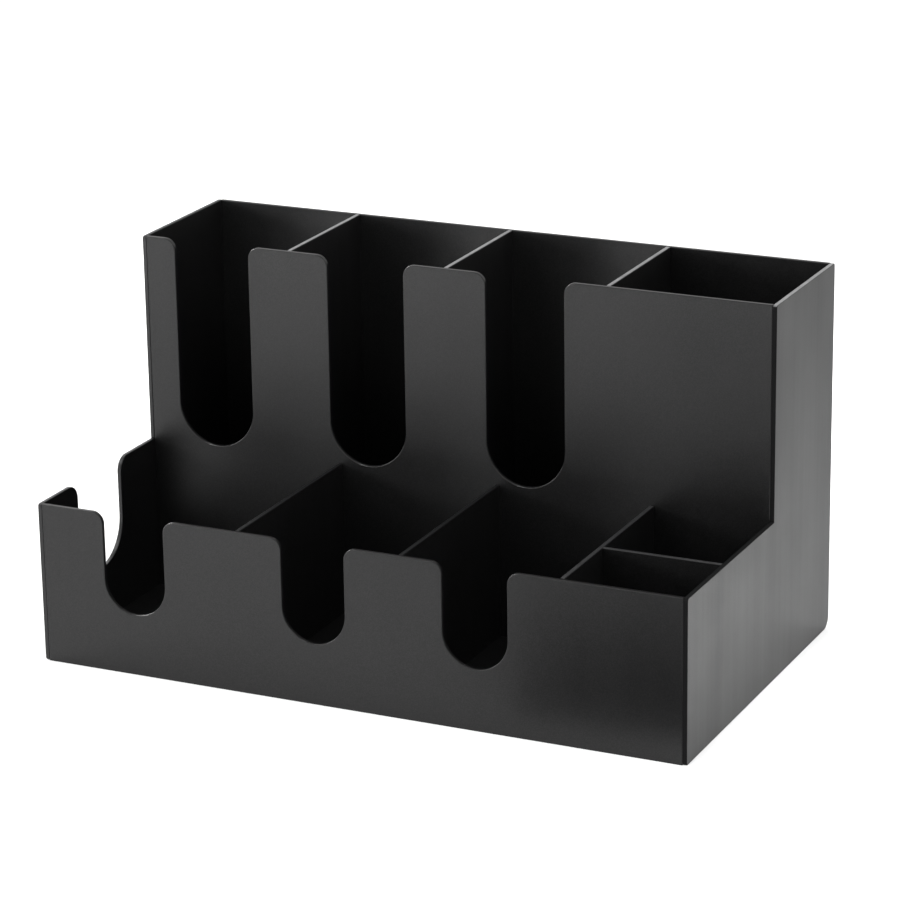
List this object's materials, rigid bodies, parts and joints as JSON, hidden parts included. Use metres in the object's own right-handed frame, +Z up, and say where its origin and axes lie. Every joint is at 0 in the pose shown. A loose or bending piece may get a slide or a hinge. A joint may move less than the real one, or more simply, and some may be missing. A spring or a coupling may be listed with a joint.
{
  "type": "two-tier counter organiser",
  "caption": "Two-tier open counter organiser for cups, lids and packets: tall slotted cup bays behind low slotted bays and small bins, in black sheet.",
  "frame": {"origin": "middle of the length and depth, on the surface that the organiser stands on", "axes": "+X to the right along the length, +Y to the back, +Z up; the slotted fronts face -Y"},
  "size_m": [0.45, 0.256, 0.25],
  "materials": {
    "black_sheet": "satin black plastic sheet, faint sheen, polished cut edges"
  },
  "bodies": {
    "root": {"base_and_back": "black_sheet", "left_side_panel": "black_sheet", "right_side_panel": "black_sheet", "tall_front_panel": "black_sheet", "low_front_panel": "black_sheet", "tall_divider_left": "black_sheet", "tall_divider_middle": "black_sheet", "tall_divider_right": "black_sheet", "low_divider_left": "black_sheet", "low_divider_middle": "black_sheet", "low_divider_right": "black_sheet", "bin_divider": "black_sheet"}
  },
  "joints": []
}
